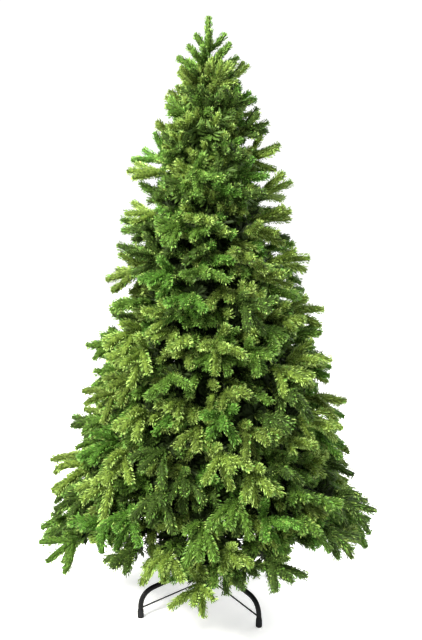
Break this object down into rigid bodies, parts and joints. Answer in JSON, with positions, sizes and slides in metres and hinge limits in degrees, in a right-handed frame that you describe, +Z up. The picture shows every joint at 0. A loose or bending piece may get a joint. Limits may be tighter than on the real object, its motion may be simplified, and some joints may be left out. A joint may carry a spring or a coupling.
{
  "type": "artificial pine tree on a stand",
  "caption": "Full-size indoor artificial pine tree: a dense cone of green needle foliage on wire boughs round a steel pole, held upright by a bent-tube metal stand.",
  "frame": {"origin": "on the floor under the pole's axis, at the middle of the stand's feet", "axes": "+Z up along the pole; -Y towards the front seen in the picture, +X to that view's right"},
  "size_m": [1.1903, 1.2674, 2.1],
  "materials": {
    "needles_leaf": "matt cut-film needles, leaf green",
    "needles_olive": "matt cut-film needles, olive green",
    "needles_lime": "matt cut-film needles, light yellow-green",
    "needles_moss": "matt cut-film needles, dark moss green",
    "needles_bright": "satin moulded needles, bright green",
    "branch_wire": "green-lacquered steel wire",
    "pole_steel": "dark green enamelled steel tube",
    "stand_steel": "satin black enamelled steel tube",
    "foot_plastic": "matt black moulded cap"
  },
  "bodies": {
    "root": {"trunk_pole": "pole_steel", "stand_socket": "stand_steel", "stand_leg_1": "stand_steel", "stand_leg_2": "stand_steel", "stand_leg_3": "stand_steel", "stand_leg_4": "stand_steel", "stand_tie_1": "stand_steel", "stand_tie_2": "stand_steel", "stand_tie_3": "stand_steel", "stand_tie_4": "stand_steel", "foot_cap_1": "foot_plastic", "foot_cap_2": "foot_plastic", "foot_cap_3": "foot_plastic", "foot_cap_4": "foot_plastic", "clamp_bolt_1": "stand_steel", "clamp_bolt_2": "stand_steel", "bough_tier1_1": "branch_wire", "bough_tier1_2": "branch_wire", "bough_tier1_3": "branch_wire", "bough_tier1_4": "branch_wire", "bough_tier1_5": "branch_wire", "bough_tier1_6": "branch_wire", "bough_tier2_1": "branch_wire", "bough_tier2_2": "branch_wire", "bough_tier2_3": "branch_wire", "bough_tier2_4": "branch_wire", "bough_tier2_5": "branch_wire", "bough_tier3_1": "branch_wire", "bough_tier3_2": "branch_wire", "bough_tier3_3": "branch_wire", "bough_tier3_4": "branch_wire", "bough_tier3_5": "branch_wire", "foliage_tier1_1": "needles_leaf", "foliage_tier1_2": "needles_moss", "foliage_tier1_3": "needles_olive", "foliage_tier1_4": "needles_bright", "foliage_tier1_5": "needles_lime", "foliage_tier1_6": "needles_leaf", "foliage_tier2_1": "needles_lime", "foliage_tier2_2": "needles_leaf", "foliage_tier2_3": "needles_moss", "foliage_tier2_4": "needles_olive", "foliage_tier2_5": "needles_bright", "foliage_tier3_1": "needles_bright", "foliage_tier3_2": "needles_lime", "foliage_tier3_3": "needles_leaf", "foliage_tier3_4": "needles_moss", "foliage_tier3_5": "needles_olive", "foliage_tier4_1": "needles_olive", "foliage_tier4_2": "needles_bright", "foliage_tier4_3": "needles_lime", "foliage_tier4_4": "needles_leaf", "foliage_tier5_1": "needles_moss", "foliage_tier5_2": "needles_olive", "foliage_tier5_3": "needles_bright", "foliage_tier5_4": "needles_lime", "foliage_tier6_1": "needles_leaf", "foliage_tier6_2": "needles_moss", "foliage_tier6_3": "needles_olive", "foliage_leader": "needles_leaf"}
  },
  "joints": []
}
